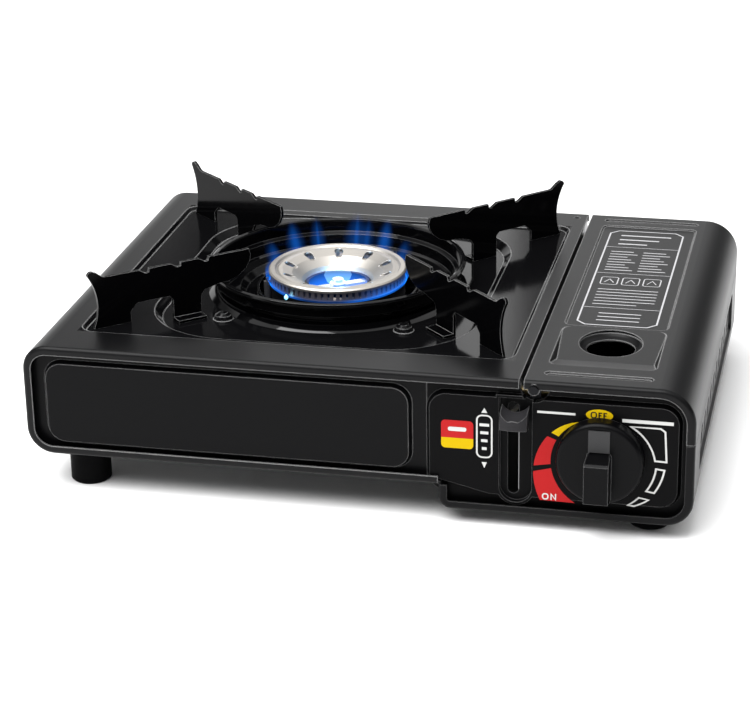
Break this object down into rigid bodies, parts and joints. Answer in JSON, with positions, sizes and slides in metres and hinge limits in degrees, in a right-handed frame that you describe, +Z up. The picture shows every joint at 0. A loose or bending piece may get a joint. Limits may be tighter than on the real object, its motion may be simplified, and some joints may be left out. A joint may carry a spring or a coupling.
{
  "type": "cassette stove",
  "caption": "Low black portable gas stove with a round burner in a drip bowl, raised pan arms, a hinged cartridge lid, a lock lever and a turn knob.",
  "frame": {"origin": "middle of the whole stove's footprint, at the bottom of its feet", "axes": "+X to the right seen from the front, +Y to the back, +Z up"},
  "size_m": [0.34, 0.2712, 0.1095],
  "materials": {
    "black_coat": "satin powder coat",
    "satin_panel": "satin powder coat",
    "gloss_black": "gloss enamel",
    "arm_enamel": "gloss enamel",
    "panel_plastic": "matte",
    "knob_plastic": "satin",
    "pointer_grey": "matte",
    "grip_grey": "matte",
    "plated_steel": "zinc plated",
    "burner_alloy": "cast satin",
    "burner_cap": "satin",
    "brass": "satin",
    "rubber": "matte",
    "ceramic": "glazed"
  },
  "bodies": {
    "stove": {"casing": "black_coat", "tray": "black_coat", "front_panel": "satin_panel", "back_panel": "satin_panel", "control_panel": "panel_plastic", "partition": "plated_steel", "hinge_bracket_front": "plated_steel", "hinge_bracket_back": "plated_steel", "hinge_pin_front": "plated_steel", "hinge_pin_back": "plated_steel", "foot_front_left": "rubber", "foot_back_left": "rubber", "foot_front_right": "rubber", "foot_back_right": "rubber", "cartridge_cradle": "plated_steel", "burner_bracket": "plated_steel", "burner_body": "burner_alloy", "flame_ring": "burner_alloy", "burner_cap": "burner_cap", "burner_bridge": "plated_steel", "mixing_tube": "burner_alloy", "gas_jet": "brass", "gas_pipe": "brass", "electrode": "ceramic", "regulator_bracket": "plated_steel", "regulator_body": "burner_alloy", "regulator_cover": "plated_steel", "gas_inlet": "brass", "piezo_igniter": "panel_plastic", "lever_pin": "plated_steel"},
    "pan_support": {"drip_bowl": "gloss_black", "pan_arm_front_left": "arm_enamel", "pan_arm_front_right": "arm_enamel", "pan_arm_back_left": "arm_enamel", "pan_arm_back_right": "arm_enamel"},
    "lid": {"lid": "black_coat"},
    "knob": {"knob": "knob_plastic", "knob_pointer": "pointer_grey", "valve_stem": "brass", "igniter_cam": "panel_plastic"},
    "lock_lever": {"lock_lever": "plated_steel", "lever_grip": "grip_grey"},
    "clamp": {"clamp_yoke": "plated_steel"}
  },
  "joints": [
    {"name": "lid_hinge", "type": "hinge", "parent": "stove", "child": "lid", "pos_m": [0.0915, 0, 0.0755], "axis": [0, -1, 0], "range_deg": [0, 95]},
    {"name": "knob_turn", "type": "hinge", "parent": "stove", "child": "knob", "pos_m": [0.1245, -0.12, 0.0415], "axis": [0, -1, 0], "range_deg": [0, 125]},
    {"name": "lever_swing", "type": "hinge", "parent": "stove", "child": "lock_lever", "pos_m": [0.081, -0.04255, 0.0425], "axis": [1, 0, 0], "range_deg": [0, 25.8]},
    {"name": "clamp_slide", "type": "slide", "parent": "stove", "child": "clamp", "axis": [0, -1, 0], "range_m": [0, 0.008]},
    {"name": "pan_support_lift", "type": "slide", "parent": "stove", "child": "pan_support", "axis": [0, 0, 1], "range_m": [0, 0.06]}
  ],
  "couplings": [
    {"joint": "clamp_slide", "follows": "lever_swing", "m_per_rad": 0.01777}
  ]
}
